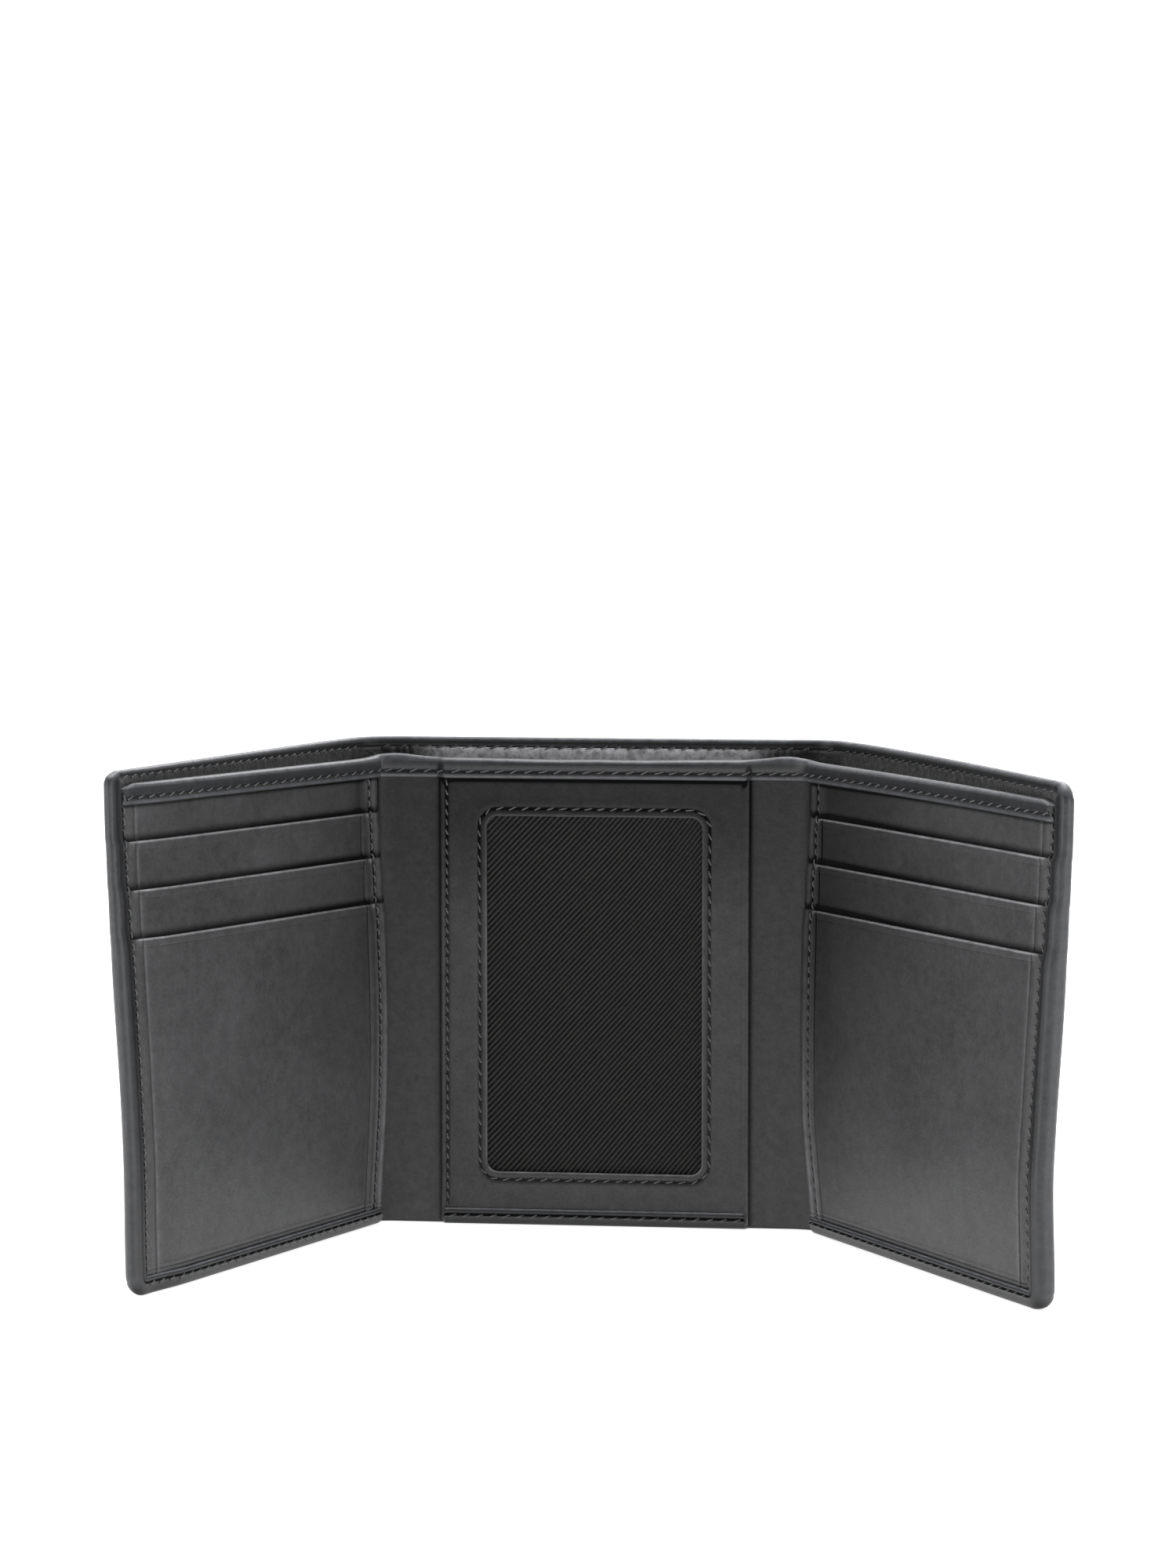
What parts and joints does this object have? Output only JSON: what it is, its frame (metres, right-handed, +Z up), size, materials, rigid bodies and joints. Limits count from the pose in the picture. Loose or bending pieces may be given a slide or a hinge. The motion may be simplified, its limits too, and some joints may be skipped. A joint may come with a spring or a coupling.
{
  "type": "trifold wallet",
  "caption": "Leather trifold wallet standing open: window panel in the middle, stepped card pockets on two folding wings, bill compartment open along the top",
  "frame": {"origin": "under the middle of the centre panel, on the surface that the wallet stands on, in the plane of the inner leather's front", "axes": "+X to the right as the open wallet is read, +Y to the back, away from the pockets, +Z up"},
  "size_m": [0.1971, 0.0955, 0.108],
  "materials": {
    "black_leather": "smooth black leather, semi-matte, softly padded at its turned edges",
    "inner_leather": "thin black leather, slightly more matte",
    "lining_fabric": "dark grey woven lining with a slight shine",
    "twill": "black twill with diagonal ribs",
    "clear_film": "clear flexible film",
    "thread": "black sewing thread, tone on tone"
  },
  "bodies": {
    "centre": {"centre_shell": "black_leather", "centre_lining": "lining_fabric", "centre_base": "inner_leather", "centre_top_binding": "black_leather", "centre_bottom_hem": "black_leather", "id_frame": "black_leather", "id_window_film": "clear_film", "id_backing": "twill", "id_window_thread": "thread", "id_side_thread": "thread", "centre_top_thread": "thread", "centre_bottom_thread": "thread", "centre_rim_thread": "thread", "left_fold_shell": "black_leather", "left_fold_lining": "lining_fabric", "left_fold_strip": "inner_leather", "left_fold_binding": "black_leather", "right_fold_shell": "black_leather", "right_fold_lining": "lining_fabric", "right_fold_strip": "inner_leather", "right_fold_binding": "black_leather"},
    "left_wing": {"left_shell": "black_leather", "left_lining": "lining_fabric", "left_base": "inner_leather", "left_facing": "black_leather", "left_top_binding": "black_leather", "left_edge_hem": "black_leather", "left_rear_pocket": "black_leather", "left_middle_pocket": "black_leather", "left_front_pocket": "black_leather", "left_outer_thread": "thread", "left_inner_thread": "thread", "left_bottom_thread": "thread", "left_top_thread": "thread", "left_rim_thread": "thread"},
    "right_wing": {"right_shell": "black_leather", "right_lining": "lining_fabric", "right_base": "inner_leather", "right_facing": "black_leather", "right_top_binding": "black_leather", "right_edge_hem": "black_leather", "right_rear_pocket": "black_leather", "right_middle_pocket": "black_leather", "right_front_pocket": "black_leather", "right_outer_thread": "thread", "right_inner_thread": "thread", "right_bottom_thread": "thread", "right_top_thread": "thread", "right_rim_thread": "thread"}
  },
  "joints": [
    {"name": "left_fold", "type": "hinge", "parent": "centre", "child": "left_wing", "pos_m": [-0.04675, -0.0027, 0.054], "axis": [0, 0, 1], "range_deg": [-64.5, 115.2], "deforming": ["left_fold_shell", "left_fold_lining", "left_fold_strip", "left_fold_binding"]},
    {"name": "right_fold", "type": "hinge", "parent": "centre", "child": "right_wing", "pos_m": [0.0453, -0.0056, 0.054], "axis": [0, 0, -1], "range_deg": [-55, 121.5], "deforming": ["right_fold_shell", "right_fold_lining", "right_fold_strip", "right_fold_binding"]}
  ]
}
